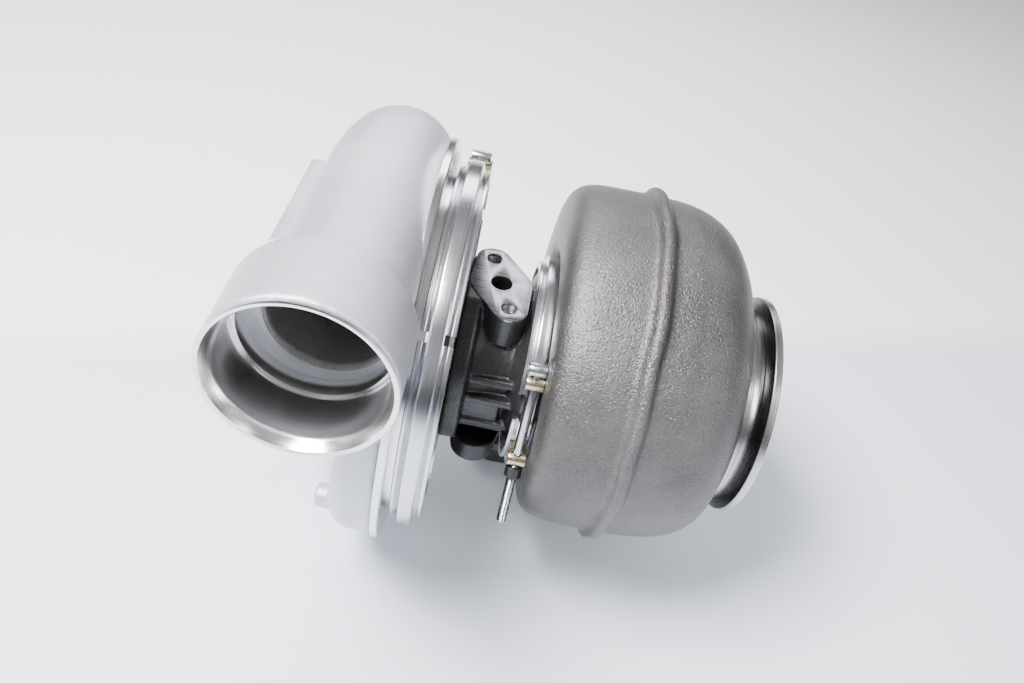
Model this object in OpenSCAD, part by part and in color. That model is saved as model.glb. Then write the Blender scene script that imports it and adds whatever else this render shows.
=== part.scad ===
// Heavy-duty turbocharger: compressor, bearing housing and divided-entry turbine
// joined by two V-band clamps. Shaft along X, oil inlet facing +Z, compressor
// discharge facing -Y. Origin: centre of the turbine outlet face. Millimetres.

/* [Turbine outlet] */
// Rim radius of the outlet V-band flange
outlet_rim_r = 72; // [60:0.5:85]
// Bore radius of the turbine outlet
outlet_bore_r = 58; // [45:0.5:62]
// Length of the straight outlet bore
outlet_bore_len = 20; // [12:1:30]

/* [Turbine housing] */
// Spiral radius of the volute at the top (over the shaft)
volute_r_top = 117; // [105:1:130]
// Loss of spiral radius for each degree round the volute
volute_drop = 0.132; // [0.08:0.002:0.18]
// Plane of the divider between the two gas passages
divider_x = -87; // [-95:0.5:-80]
// How far the parting rib stands above the casting
rib_h = 5; // [2:0.5:8]
// Width of one gas port at the inlet flange
port_w = 44; // [30:1:50]
// Length of each gas port across the shaft
port_l = 57; // [40:1:65]
// Height of the inlet flange face below the shaft
inlet_face_z = -150; // [-190:1:-140]
// Bolt spacing of the inlet flange along the shaft
inlet_bolt_dx = 130; // [110:1:160]
// Bolt spacing of the inlet flange across the shaft
inlet_bolt_dy = 82; // [70:1:110]
// Clearance hole radius of the inlet flange bolts
inlet_hole_r = 6.5; // [5:0.25:8]

/* [Compressor cover] */
// Pitch radius of the scroll centreline
scroll_r = 111.5; // [95:0.5:120]
// Scroll tube radius at the tongue
tube_r_start = 13.5; // [10:0.5:20]
// Tube radius where the scroll becomes the straight discharge
tube_r_end = 36; // [30:0.5:42]
// Casting wall thickness of the scroll
scroll_wall = 5; // [3.5:0.5:8]
// Height of the discharge axis above the shaft
discharge_z = 102.6; // [90:0.2:110]
// Position of the discharge axis along the shaft
discharge_x = -258.2; // [-265:0.2:-250]
// Distance of the discharge face from the shaft
discharge_y = 164; // [140:1:180]
// Outer radius of the discharge socket
socket_r = 46.4; // [42:0.2:55]
// Bore radius of the discharge socket
discharge_bore_r = 40.4; // [30:0.2:48]
// Depth of the machined discharge bore
discharge_bore_len = 45; // [15:1:50]
// Outer radius of the compressor inlet tube
inlet_tube_r = 58; // [52:1:60]
// Bore radius of the compressor inlet
inlet_bore_r = 51; // [45:0.5:54]
// Face of the compressor inlet along the shaft
inlet_x = -306.4; // [-330:0.2:-295]
// Height of the top pad above the shaft
pad_z = 88.8; // [75:0.2:95]
// Half width of the top pad
pad_y = 47.4; // [35:0.2:60]

/* [Rotor] */
// Tip radius of the compressor wheel
comp_tip_r = 58; // [50:0.5:65]
// Inducer radius of the compressor wheel
comp_eye_r = 41; // [35:0.5:48]
// Number of main compressor blades
comp_blades = 8; // [6:1:10]
// Tip radius of the turbine wheel
turb_tip_r = 50; // [44:0.5:55]
// Exducer radius of the turbine wheel
turb_exit_r = 43.5; // [38:0.5:48]
// Number of turbine blades
turb_blades = 11; // [9:1:14]
// Shaft radius in the journal bearings
journal_r = 10; // [8:0.25:12]
// Radial running clearance between shaft and journal bearing
inner_fit = 0.04; // [0.01:0.01:0.1]
// Radial running clearance between journal bearing and housing
outer_fit = 0.06; // [0.01:0.01:0.1]

/* [Clamps] */
// Outer radius of the compressor clamp band
comp_band_r = 120; // [110:0.5:130]
// Centre of the compressor clamp along the shaft
comp_clamp_x = -204; // [-210:0.2:-198]
// Outer radius of the turbine clamp band
turb_band_r = 70; // [62:0.5:80]
// Centre of the turbine clamp along the shaft
turb_clamp_x = -143.6; // [-150:0.2:-138]
// Radius of the clamp T-bolts
t_bolt_r = 3; // [2.5:0.1:4]

/* [Oil connections] */
// Height of the oil inlet face above the shaft
oil_face_z = 57.4; // [50:0.2:65]
// Position of the oil inlet and drain along the shaft
oil_x = -174.2; // [-180:0.2:-165]
// Radius of the oil inlet hole
oil_hole_r = 6.75; // [4:0.25:9]
// Pitch circle of the two oil inlet bolts
oil_pcd = 49; // [40:0.5:60]
// Core radius of the oil inlet bolt holes
oil_bolt_r = 4.25; // [3:0.25:5.5]
// Turn of the oil inlet bolt line from the cross axis
oil_turn = 16.7; // [0:0.1:30]
// Position of the oil drain along the shaft
drain_x = -171; // [-176:0.5:-165]
// Height of the oil drain face below the shaft
drain_face_z = -60; // [-75:0.5:-50]
// Radius of the oil drain hole
drain_r = 14; // [10:0.5:18]
// Pitch of the two drain bolts
drain_pcd = 61; // [50:0.5:75]

/* [Hidden] */
$fn = 96;
eps = 0.01;
// Bearing housing stations along the shaft
bh_front = -195;
bh_back = turb_clamp_x - 0.1;
nose_end = -106;
journal_out_r = 14;
seal_r = 15.15;
// Journal bearing centres and length
jb_c = -173;
jb_t = -124;
jb_len = 13;
// Scroll angles: tongue and top of the turn
tongue = 60;
// Rear shoulder of the discharge socket
socket_back = 113;
top_turn = 360;
ring_n = 20;
// Right side of the scroll tube and of the discharge pipe
tube_right = -218.2;
// Right side of the gas passage in the scroll, left of the cover's rear wall
passage_right = -219.8;
duct_y = 92;
// Clamp closures: angle of the bolt tangent, bolt height and trunnion offset
comp_close = -72;
comp_bolt_h = 131;
comp_trun = 30;
turb_close = 75;
turb_bolt_h = 80;
turb_trun = 26;
turb_bolt_x = turb_clamp_x - 1.7;
cast_al = [0.80, 0.80, 0.84];
cast_fe = [0.46, 0.44, 0.44];
dark_fe = [0.20, 0.20, 0.21];
bright = [0.75, 0.75, 0.78];
gold = [0.72, 0.60, 0.35];

// Solid of revolution about the shaft axis from [x, r] points
module rev(p, fn = 96) rotate([0, 90, 0])
    rotate_extrude($fn = fn) polygon([for (q = p) [q[1], q[0]]]);

// Cylinder along the shaft axis from x0 to x1
module xcyl(x0, x1, r) translate([x0, 0, 0]) rotate([0, 90, 0]) cylinder(h = x1 - x0, r = r);

// Closed skin over equal rings of points
module skin(rings) {
    n = len(rings);
    m = len(rings[0]);
    pts = [for (ring = rings) each ring];
    sides = [for (i = [0:n - 2], j = [0:m - 1])
        let (a = i * m + j, b = i * m + (j + 1) % m, c = a + m, d = b + m)
        each [[a, c, b], [b, c, d]]];
    first = [for (j = [0:m - 1]) j];
    last = [for (j = [m - 1:-1:0]) (n - 1) * m + j];
    polyhedron(pts, concat([first, last], sides));
}

// Turns a radius and a clock angle (from +Z towards -Y) into a point
function polar(x, r, t) = [x, -r * sin(t), r * cos(t)];
function ease(u) = u * u * (3 - 2 * u);

// ---------- compressor scroll ----------
function tube_r(t) = tube_r_start
    + (tube_r_end - tube_r_start) * pow(max(0, t - tongue) / (top_turn - tongue), 1.15);
function tube_x(t) = tube_right - tube_r(t);
function tube_pitch(t) = scroll_r - (scroll_r - discharge_z) * pow(max(0, (t - 300) / 60), 3);
// Ring round the scroll at angle t, shrunk by w; right side stretched to x_right when given
function scroll_ring(t, w, stretch) = let (r = tube_r(t) - w, x = tube_x(t))
    [for (k = [0:ring_n - 1]) let (a = 360 * k / ring_n, c = cos(a),
        dx = (stretch && c > 0) ? c * (passage_right - x) : c * r)
        polar(x + dx, tube_pitch(t) + r * sin(a), t)];
// Ring across the straight discharge at distance y from the shaft
function duct_ring(y, w) = let (r = tube_r_end + y / 118 - w, x = tube_right - r - w)
    [for (k = [0:ring_n - 1]) let (a = 360 * k / ring_n) [x + r * cos(a), -y, discharge_z + r * sin(a)]];

module scroll_body(w, stretch, y_end)
    skin(concat([for (t = [tongue + (w > 0 ? 6 : 0):7.5:top_turn - 4]) scroll_ring(t, w, stretch)],
        [scroll_ring(top_turn - 0.5, w, false)],
        [for (y = [30, 60, 90, y_end]) duct_ring(y, w)]));

module discharge(y0, y1, r0, r1) translate([discharge_x, -y0, discharge_z])
    rotate([90, 0, 0]) cylinder(h = y1 - y0, r1 = r0, r2 = r1);

// Round-edged block for the top pad, edges along X rounded
module pad_block(x0, x1) {
    e = 3;
    translate([x0, -pad_y, 20]) cube([x1 - x0, 2 * pad_y, pad_z - e - 20]);
    translate([x0, -pad_y + e, 20]) cube([x1 - x0, 2 * (pad_y - e), pad_z - 20]);
    for (s = [-1, 1]) translate([x0, s * (pad_y - e), pad_z - e])
        rotate([0, 90, 0]) cylinder(h = x1 - x0, r = e, $fn = 32);
}

module compressor_cover() color(cast_al) difference() {
    union() {
        scroll_body(0, false, 118);
        translate([discharge_x, -socket_back, discharge_z]) rotate([90, 0, 0]) rotate_extrude()
            polygon([[0, 0], [socket_r - 6, 0], [socket_r - 1.2, 1], [socket_r, 3.5],
                [socket_r, discharge_y - socket_back], [0, discharge_y - socket_back]]);
        rev([[inlet_x, 0], [inlet_x, inlet_tube_r - 2], [inlet_x + 2, inlet_tube_r],
            [-246, inlet_tube_r], [-238, 66], [-236, 112], [-223, 129],
            [-221.5, 131.5], [-221.5, 128.5], [-217.4, 128.5], [-217.4, 109.5],
            [-210.3, 109.5], [-207.6, 116], [-204.1, 116], [-204.1, 0]]);
        pad_block(inlet_x, -262);
    }
    // gas passage, machined discharge bore with shoulder and mouth chamfer
    scroll_body(scroll_wall, true, 121);
    discharge(discharge_y - discharge_bore_len, discharge_y + 1, discharge_bore_r, discharge_bore_r);
    discharge(discharge_y - 6, discharge_y + eps, discharge_bore_r, discharge_bore_r + 4);
    // inlet bore and wheel shroud
    rev([[inlet_x - 1, 0], [inlet_x - 1, inlet_bore_r], [inlet_x + 24, inlet_bore_r],
        [-268, comp_eye_r + 0.6], [-250, comp_eye_r + 0.6], [-241, comp_eye_r + 2.4],
        [-233, comp_eye_r + 6.6], [-227, comp_eye_r + 12], [-223.4, comp_tip_r + 1],
        [-221, comp_tip_r + 3], [-221, 104.5], [-214.9, 104.5], [-214.9, 100.4],
        [-203, 100.4], [-203, 0]]);
    // threaded holes of the top pad
    for (y = [-34, 34]) translate([-296, y, pad_z - 18]) cylinder(h = 20, r = 4.25);
}

module backplate_bolt_holes(r, x0, x1) for (k = [0:7])
    rotate([k * 45 + 22.5, 0, 0]) translate([0, 0, 48]) xcyl(x0, x1, r);

module compressor_backplate() color(dark_fe) difference() {
    rev([[-215, 11.9], [-215, 99.7], [-211.6, 99.7], [-211.6, 96.9], [-208.4, 96.9],
        [-208.4, 99.7], [-203.9, 99.7], [-203.9, 116], [-200.4, 116], [-197.7, 109.5],
        [-197.7, 96], [-203, 92], [-203, 66], [-195, 62], [-195, 40], [-199, 36],
        [-199, 15], [-200, 11.9]]);
    backplate_bolt_holes(4.3, -220, -190);
    backplate_bolt_holes(7.1, -220, -207);
}

// ---------- bearing housing ----------
// Flange outline: a centre arc, two bolt ears and straight tangents between them
function arc(c, r, a0, a1, n) = [for (i = [0:n]) let (a = a0 + (a1 - a0) * i / n)
    [c[0] + r * cos(a), c[1] + r * sin(a)]];
module lozenge(mid, ear, half, h) {
    f = acos((mid - ear) / half);
    linear_extrude(h) polygon(concat(arc([0, 0], mid, f - 90, 90 - f, 6),
        arc([0, half], ear, 90 - f, 90 + f, 14), arc([0, 0], mid, 90 + f, 270 - f, 6),
        arc([0, -half], ear, 270 - f, 270 + f, 14)));
}

module bearing_housing() color(dark_fe) difference() {
    union() {
        difference() {
            rev([[bh_front, 0], [bh_front, 60], [-184.5, 60], [-183, 58.5], [-183, 49],
                [-158, 46], [-154.5, 50], [-150, 59], [bh_back - 3.4, 66], [bh_back, 66],
                [bh_back, 54], [nose_end, 52], [nose_end, 0]]);
            translate([-200, -42, oil_face_z - 0.8]) cube([45, 84, 10]);
        }
        // oil inlet column and drain column
        translate([oil_x, 0.5, 36]) rotate(oil_turn) lozenge(19.8, 11.7, oil_pcd / 2, oil_face_z - 36);
        translate([oil_x, 0, 20]) cylinder(h = 25, r = 17);
        translate([drain_x, 0, drain_face_z]) lozenge(20, 14.5, drain_pcd / 2, 16);
        translate([drain_x, 0, drain_face_z + 10]) cylinder(h = 40, r = 18.5);
        // cast stiffening ribs between the drum and the turbine flange
        for (t = [78, 104, -78, -104]) rotate([t, 0, 0]) translate([-183.5, -3, 32]) cube([30, 6, 22]);
    }
    // journal bore, seal bore, front pocket for the thrust bearing, oil cavity
    xcyl(-186.5, -112, journal_out_r + outer_fit);
    xcyl(-113, nose_end + 1, seal_r);
    xcyl(-196, -186, 31);
    xcyl(-187, -182.2, 21.5);
    xcyl(-160, -137, 30);
    for (x = [jb_c - 8.2, jb_c + 6.8, jb_t - 8.2, jb_t + 6.8]) xcyl(x, x + 1.4, 15.6);
    // oil gallery, feeds and drain
    translate([oil_x, 0.5, 42]) cylinder(h = 30, r = oil_hole_r);
    translate([oil_x, 0.5, 12]) cylinder(h = 40, r = 2.5);
    translate([-180, 0, 37]) rotate([0, 90, 0]) cylinder(h = 60, r = 4);
    translate([jb_t, 0, 12]) cylinder(h = 26, r = 2.5);
    translate([oil_x, 0.5, 0]) rotate(oil_turn) for (s = [-1, 1])
        translate([0, s * oil_pcd / 2, oil_face_z - 20]) cylinder(h = 30, r = oil_bolt_r);
    translate([drain_x, 0, drain_face_z - 1]) cylinder(h = 17.1, r = drain_r);
    translate([drain_x, 0, drain_face_z + 16]) cylinder(h = 27, r = drain_r + 2);
    translate([drain_x, 0, -31]) rotate([0, 90, 0]) cylinder(h = 20, r = 9);
    for (s = [-1, 1]) translate([drain_x, s * drain_pcd / 2, drain_face_z - 1])
        cylinder(h = 13, r = oil_bolt_r);
    backplate_bolt_holes(3.4, -196, -184.8);
    for (k = [0:2]) rotate([k * 120, 0, 0]) translate([0, 0, 25.5]) xcyl(-188, -177, 2.1);
}

// ---------- turbine housing ----------
function volute(t) = let (u = t >= 270 ? t - 360 : t)
    u <= 225 ? volute_r_top - volute_drop * u
    : let (a = volute_r_top - volute_drop * 225, b = volute_r_top + volute_drop * 90)
        a + (b - a) * ease(min(1, (u - 225) / 40));
// Left side of the casting moves in as the passage narrows
function side_x(t) = let (u = t >= 270 ? t - 360 : t) -144 + 8 * max(0, min(1, (u + 30) / 160));
function shell_profile(t) = let (r = volute(t), x = side_x(t), b = 76, h = r - b, c = 78, g = r - c)
    [[-131, 72], [x + 5, 74], [x, b + 0.1 * h], [x, b + 0.5 * h], [x + 2, b + 0.75 * h],
    [x + 7, b + 0.9 * h], [x + 14, b + 0.98 * h], [x + 24, r + 0.5],
    [divider_x - 5, r + 1], [divider_x - 4, r + 4], [divider_x - 2.5, r + rib_h],
    [divider_x + 2.5, r + rib_h], [divider_x + 4, r + 4], [divider_x + 5, r + 1],
    [-66, r + 0.5], [-56, c + 0.965 * g], [-46, c + 0.87 * g], [-38, c + 0.74 * g],
    [-31, c + 0.55 * g], [-26, c + 0.35 * g], [-23, c + 0.1 * g], [-21, 76]];
function shell_ring(k) = [for (t = [0:6:354]) let (p = shell_profile(t)[k]) polar(p[0], p[1], t)];
// Gas passage between two planes at spiral angle u
function gas_ring(u, x0, x1, narrow) = let (o = volute(u) - 5, d = narrow * max(0, u + 90) / 315,
    oa = x0 < divider_x ? 14 : 4, ob = x0 < divider_x ? 4 : 19,
    a = x0 < divider_x ? x0 + d : x0, b = x0 < divider_x ? x1 : x1 - d)
    [polar(a + 8, 65, u), polar(b - 2, 65, u), polar(b, 69, u), polar(b, max(71, o - ob), u),
        polar(b - 9, max(72, o - 3), u), polar(a + 6, max(72, o - 3), u),
        polar(a, max(71, o - oa), u), polar(a, 70, u)];

module gas_passage(x0, x1) skin([for (u = [-90:8:222]) gas_ring(u, x0, x1, 14)]);

// Rounded rectangle column along Z
module round_box(x0, x1, y0, y1, z0, z1, r) translate([0, 0, z0]) linear_extrude(z1 - z0) union() {
    translate([x0 + r, y0]) square([x1 - x0 - 2 * r, y1 - y0]);
    translate([x0, y0 + r]) square([x1 - x0, y1 - y0 - 2 * r]);
    for (x = [x0 + r, x1 - r], y = [y0 + r, y1 - r]) translate([x, y]) circle(r = r, $fn = 48);
}

module turbine_housing() color(cast_fe) difference() {
    union() {
        skin([for (k = [0:21]) shell_ring(k)]);
        rev([[-138.2, 0], [-138.2, 0.5], [bh_back + 0.2, 0.5], [bh_back + 0.2, 66],
            [bh_back + 3.6, 66], [-137.5, 60.5], [-130, 60.5], [-130, 0]]);
        rev([[-40, 0], [-40, 79], [-23, 79], [-20.5, 76.5], [-20, 74], [-20, 67.5],
            [-14.5, 66.5], [-14, 65.6], [-8.6, 64.6], [-4.7, outlet_rim_r],
            [0, outlet_rim_r], [0, 0]]);
        round_box(-142, -32, duct_y - 36, duct_y + 36, inlet_face_z + 6, 0, 14);
        round_box(divider_x - 78, divider_x + 78, duct_y - 54, duct_y + 54,
            inlet_face_z, inlet_face_z + 14, 12);
    }
    // room for the clamp beside the inlet duct
    rev([[-143, 66.2], [-140, 66.2], [-137.5, 60.9], [-131.8, 60.9], [-131.8, 71.6], [-143, 71.6]]);
    gas_passage(-136, -92);
    gas_passage(-82, -38);
    for (s = [-1, 1]) round_box(divider_x + s * (port_w / 2 + 5) - port_w / 2,
        divider_x + s * (port_w / 2 + 5) + port_w / 2,
        duct_y - port_l / 2, duct_y + port_l / 2, inlet_face_z - 1, 1, 6);
    // seat for the bearing housing nose, throat, wheel shroud, outlet cone and bore
    rev([[-146, 0], [-146, 57.3], [-103.4, 57.3], [-103.4, 53], [-98, 53], [-98, 67], [-76, 67],
        [-76, 51], [-69.5, 47.2], [-62, 44.4], [-52, 44.2], [-outlet_bore_len, outlet_bore_r],
        [1, outlet_bore_r], [1, 0]]);
    for (x = [-1, 1], y = [-1, 1]) translate([divider_x + x * inlet_bolt_dx / 2,
        duct_y + y * inlet_bolt_dy / 2, inlet_face_z - 1]) cylinder(h = 20, r = inlet_hole_r);
}

module heat_shield() color(bright) rev([[-140, 55.4], [-140, 56.9], [-104.6, 56.9], [-103.6, 55.9],
    [-103.6, 17], [-105, 17], [-105, 55.4]]);

// ---------- rotor ----------
module shaft() color(bright) difference() {
    rev([[-276, 0], [-276, 6.4], [-274.8, 7.4], [-191, 7.5], [-191, journal_r], [-116.8, journal_r],
        [-115.8, 12], [-112, 12], [-112, 14.9], [-108.6, 14.9], [-108.6, 12.8], [-106.8, 12.8],
        [-106.8, 14.9], [-101.9, 14.9], [-101.9, 8], [-92, 8], [-92, 0]]);
    translate([-277, 0, 0]) rotate([0, 90, 0]) cylinder(h = 3, r = 2);
}

// One blade skin: hub line and shroud line of [x, r, angle], thickness at root and tip
module blade(hub, tip, t_hub, t_tip) skin([for (i = [0:len(hub) - 1]) let (h = hub[i], s = tip[i],
    dh = asin(t_hub / 2 / h[1]), dt = asin(t_tip / 2 / s[1]))
    [polar(h[0], h[1], h[2] - dh), polar(s[0], s[1], s[2] - dt), polar(s[0], s[1], s[2] + dt),
        polar(h[0], h[1], h[2] + dh)]]);

// Compressor blade: radial with backswept tip and swept inducer
comp_hub = [for (i = [0:7]) let (u = i / 7) [-258 + 39.5 * pow(u, 0.75), 15 + 41 * pow(u, 2.2),
    -46 * pow(1 - u, 1.6) - 26 * u * u]];
comp_tip = [for (i = [0:7]) let (u = i / 7) [-256 + 32.6 * pow(u, 0.72), comp_eye_r + (comp_tip_r - comp_eye_r) * pow(u, 2.6),
    -60 * pow(1 - u, 1.6) - 26 * u * u]];
module compressor_wheel() color(bright) difference() {
    union() {
        rev([[-262, 0], [-262, 12], [-256, 14.5], [-246, 17], [-237, 21], [-229, 28],
            [-223, 38], [-219.8, 48], [-218.6, comp_tip_r], [-216.6, comp_tip_r],
            [-216.3, 30], [-215.8, 14], [-215.8, 0]]);
        for (k = [0:comp_blades - 1]) rotate([k * 360 / comp_blades, 0, 0]) {
            blade(comp_hub, comp_tip, 3, 0.9);
            rotate([180 / comp_blades, 0, 0]) blade([for (i = [2:7]) comp_hub[i]],
                [for (i = [2:7]) comp_tip[i]], 2.6, 0.9);
        }
    }
    xcyl(-263, -215, 7.54);
}

turb_hub = [for (i = [0:6]) let (u = i / 6) [-99.6 + 42 * pow(u, 0.85), 47 - 33.5 * pow(u, 0.5), 44 * u * u]];
turb_tip = [for (i = [0:6]) let (u = i / 6) [u == 0 ? -99.4 : -81 + 24 * u,
    turb_tip_r - (turb_tip_r - turb_exit_r) * ease(u), 52 * u * u]];
module turbine_wheel() color([0.42, 0.38, 0.35]) difference() {
    union() {
        rev([[-101.8, 0], [-101.8, 18], [-101.2, 30], [-100.4, 46], [-98.8, 46], [-96, 36], [-88, 24],
            [-76, 16.5], [-60, 13], [-54, 12], [-52, 8], [-52, 0]]);
        for (k = [0:turb_blades - 1]) rotate([k * 360 / turb_blades, 0, 0])
            blade(turb_hub, turb_tip, 3.4, 1.3);
    }
    xcyl(-102, -91.9, 8);
}

module hex_x(x0, x1, af) translate([x0, 0, 0]) rotate([0, 90, 0])
    cylinder(h = x1 - x0, r = af / 2 / cos(30), $fn = 6);

module compressor_nut() color(bright) difference() {
    union() {
        hex_x(-271, -264, 21);
        xcyl(-264, -262, 11.5);
    }
    xcyl(-272, -261, 7.54);
}

module thrust_collar() color(bright) difference() {
    union() {
        xcyl(-190.4, -182.6, 12);
        xcyl(-185.6, -182.6, 20);
    }
    xcyl(-191, -182, 10.03);
}

module oil_slinger() color(bright) difference() {
    rev([[-215.8, 7.54], [-215.8, 11.4], [-208.8, 11.4], [-208.8, 9.5], [-207, 9.5], [-207, 11.4],
        [-193.4, 11.4], [-193.4, 20], [-190.4, 20], [-190.4, 10.2], [-191.1, 10.2], [-191.1, 7.54]]);
    for (k = [0:3]) rotate([k * 90, 0, 0]) translate([0, 0, 15.7]) xcyl(-194, -191.8, 1.6);
}

module piston_ring(x, ri, ro, w) color(bright) difference() {
    rev([[x, ri], [x, ro], [x + w, ro], [x + w, ri]]);
    translate([x - 1, -0.3, 0]) cube([w + 2, 0.6, ro + 1]);
}

module journal_bearing(x) color([0.76, 0.62, 0.34]) difference() {
    xcyl(x - jb_len / 2, x + jb_len / 2, journal_out_r);
    xcyl(x - jb_len, x + jb_len, journal_r + inner_fit);
    for (k = [0:5]) rotate([k * 60, 0, 0]) translate([x, 0, 8]) cylinder(h = 10, r = 1.4, $fn = 32);
}

module bearing_circlips() color(bright) for (x = [jb_c - 8.1, jb_c + 6.9, jb_t - 8.1, jb_t + 6.9])
    difference() {
        rev([[x, 12.4], [x, 15.5], [x + 1.2, 15.5], [x + 1.2, 12.4]]);
        translate([x - 1, -2.5, 0]) cube([4, 5, 20]);
    }

module thrust_bearing() color([0.76, 0.62, 0.34]) difference() {
    rev([[-190.3, 12.5], [-190.3, 30.8], [-186, 30.8], [-186, 20.4], [-185.7, 20.4], [-185.7, 12.5]]);
    for (k = [0:2]) rotate([k * 120, 0, 0]) translate([0, 0, 25.5]) xcyl(-191, -185, 2.6);
}

module oil_baffle() color(bright) rev([[-198.6, 22], [-198.6, 34.5], [-196.5, 34.5], [-196.5, 33],
    [-197.4, 33], [-197.4, 22]]);

module thrust_screws() color(bright) for (k = [0:2]) rotate([k * 120, 0, 0])
    translate([0, 0, 25.5]) difference() {
        union() {
            xcyl(-194, -190.3, 4);
            xcyl(-190.4, -178, 2.1);
        }
        translate([-195, 0, 0]) rotate([0, 90, 0]) cylinder(h = 2.8, r = 2.1, $fn = 6);
    }

module backplate_bolts() color(bright) for (k = [0:7]) rotate([k * 45 + 22.5, 0, 0])
    translate([0, 0, 48]) difference() {
        union() {
            xcyl(-213.6, -207, 6.6);
            xcyl(-207.1, -186, 3.4);
        }
        translate([-214, 0, 0]) rotate([0, 90, 0]) cylinder(h = 4, r = 3.2, $fn = 6);
    }

module o_ring(x, r, w) color([0.08, 0.08, 0.08]) rotate([0, 90, 0]) rotate_extrude()
    translate([r, x]) circle(r = w, $fn = 24);

// ---------- V-band clamps ----------
// Retainer section: top land under the band, flank, groove and flared lip on each side
module retainers(x, top, drop, half, lip0, lip1, close) color(bright) difference() {
    rev([[x - lip1, top - drop - 3.5], [x - lip1, top - drop + 1], [x - lip0, top - drop + 1],
        [x - lip0 + 0.7, top - drop - 0.6], [x - half, top], [x + half, top],
        [x + lip0 - 0.7, top - drop - 0.6], [x + lip0, top - drop + 1], [x + lip1, top - drop + 1],
        [x + lip1, top - drop - 3.5], [x + lip1 - 2.6, top - drop - 3.5], [x + half - 0.3, top - 2],
        [x - half + 0.3, top - 2], [x - lip1 + 2.6, top - drop - 3.5]]);
    rotate([close, 0, 0]) translate([x - 20, -9, 0]) cube([40, 18, top + 10]);
    for (a = [120, 240]) rotate([close + a, 0, 0]) translate([x - 20, -3, 0]) cube([40, 6, top + 10]);
}

module band(x, r, half, close, gap) color(bright) difference() {
    rev([[x - half, r - 1.6], [x - half, r], [x + half, r], [x + half, r - 1.6]]);
    rotate([close, 0, 0]) translate([x - 20, -gap, 0]) cube([40, 2 * gap, r + 10]);
}

// Trunnion saddles standing on the band ends, each drilled for the T-bolt
module trunnions(x, r, half, close, h, off, th) color(gold) rotate([close, 0, 0]) for (s = [-1, 1])
    difference() {
        union() {
            translate([x - half, s * off - th, r - 14]) cube([2 * half, 2 * th, h - r + 14]);
            translate([x - half, s * off, h]) rotate([0, 90, 0]) cylinder(h = 2 * half, r = th + 2.5);
        }
        translate([x - half - 1, -200, -200]) cube([2 * half + 2, 400, 200 + sqrt(r * r - off * off) - 3]);
        xcyl(x - half - 1, x + half + 1, r + 0.05);
        translate([x, 60, h]) rotate([90, 0, 0]) cylinder(h = 120, r = t_bolt_r + 0.25);
    }

// T-bolt whose cross head of half length w bears on the trunnion barrel
module t_bolt(x, close, h, off, th, w, reach) color(bright) rotate([close, 0, 0]) {
    head_y = off + th + 6.6;
    translate([x, head_y, h]) rotate([90, 0, 0]) cylinder(h = head_y + reach, r = t_bolt_r);
    translate([x - w, head_y, h]) rotate([0, 90, 0]) cylinder(h = 2 * w, r = 4);
}

module nut_y(x, close, h, y0, y1, af) color(dark_fe) rotate([close, 0, 0]) difference() {
    translate([x, -y0, h]) rotate([90, 0, 0]) cylinder(h = y1 - y0, r = af / 2 / cos(30), $fn = 6);
    translate([x, -y0 + 1, h]) rotate([90, 0, 0]) cylinder(h = y1 - y0 + 2, r = t_bolt_r);
}

module sleeve_y(x, close, h, y0, y1, r) color(dark_fe) rotate([close, 0, 0]) difference() {
    translate([x, -y0, h]) rotate([90, 0, 0]) cylinder(h = y1 - y0, r = r);
    translate([x, -y0 + 1, h]) rotate([90, 0, 0]) cylinder(h = y1 - y0 + 2, r = t_bolt_r + 0.25);
}

compressor_cover();
compressor_backplate();
bearing_housing();
turbine_housing();
heat_shield();
backplate_bolts();
o_ring(-210, 98.6, 1.6);  // cover_o_ring
o_ring(-196.42, 36.55, 1.4);  // backplate_o_ring
thrust_bearing();
oil_baffle();
thrust_screws();
bearing_circlips();
journal_bearing(jb_c);  // journal_bearing_compressor
journal_bearing(jb_t);  // journal_bearing_turbine
shaft();
turbine_wheel();
compressor_wheel();
compressor_nut();
thrust_collar();
oil_slinger();
piston_ring(-208.7, 9.8, 11.85, 1.6);  // piston_ring_compressor
piston_ring(-108.5, 13.1, 15.1, 1.6);  // piston_ring_turbine
retainers(comp_clamp_x, comp_band_r - 1.6, 4.4, 4.3, 7.3, 9.8, comp_close);  // comp_clamp_retainers
band(comp_clamp_x, comp_band_r, 4.3, comp_close, 24);  // comp_clamp_band
trunnions(comp_clamp_x, comp_band_r, 8.5, comp_close, comp_bolt_h, comp_trun, 2.5);  // comp_clamp_trunnions
t_bolt(comp_clamp_x, comp_close + 180, -comp_bolt_h, comp_trun, 2.5, 7, 68);  // comp_clamp_t_bolt
nut_y(comp_clamp_x, comp_close + 180, -comp_bolt_h, comp_trun + 5, comp_trun + 14, 11);  // comp_clamp_nut
retainers(turb_clamp_x, turb_band_r - 1.6, 3.4, 4, 6.2, 8.7, turb_close);  // turb_clamp_retainers
band(turb_clamp_x, turb_band_r, 4, turb_close, 20);  // turb_clamp_band
trunnions(turb_bolt_x, turb_band_r, 5.2, turb_close, turb_bolt_h, turb_trun, 2);  // turb_clamp_trunnions
t_bolt(turb_bolt_x, turb_close, turb_bolt_h, turb_trun, 2, 5.2, 73);  // turb_clamp_t_bolt
sleeve_y(turb_bolt_x, turb_close, turb_bolt_h, turb_trun + 4.5, turb_trun + 12, 5.2);  // turb_clamp_sleeve
nut_y(turb_bolt_x, turb_close, turb_bolt_h, turb_trun + 12, turb_trun + 20, 11);  // turb_clamp_nut
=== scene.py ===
import math

import bmesh
import bpy
import numpy as np
from mathutils import Matrix, Vector


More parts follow.
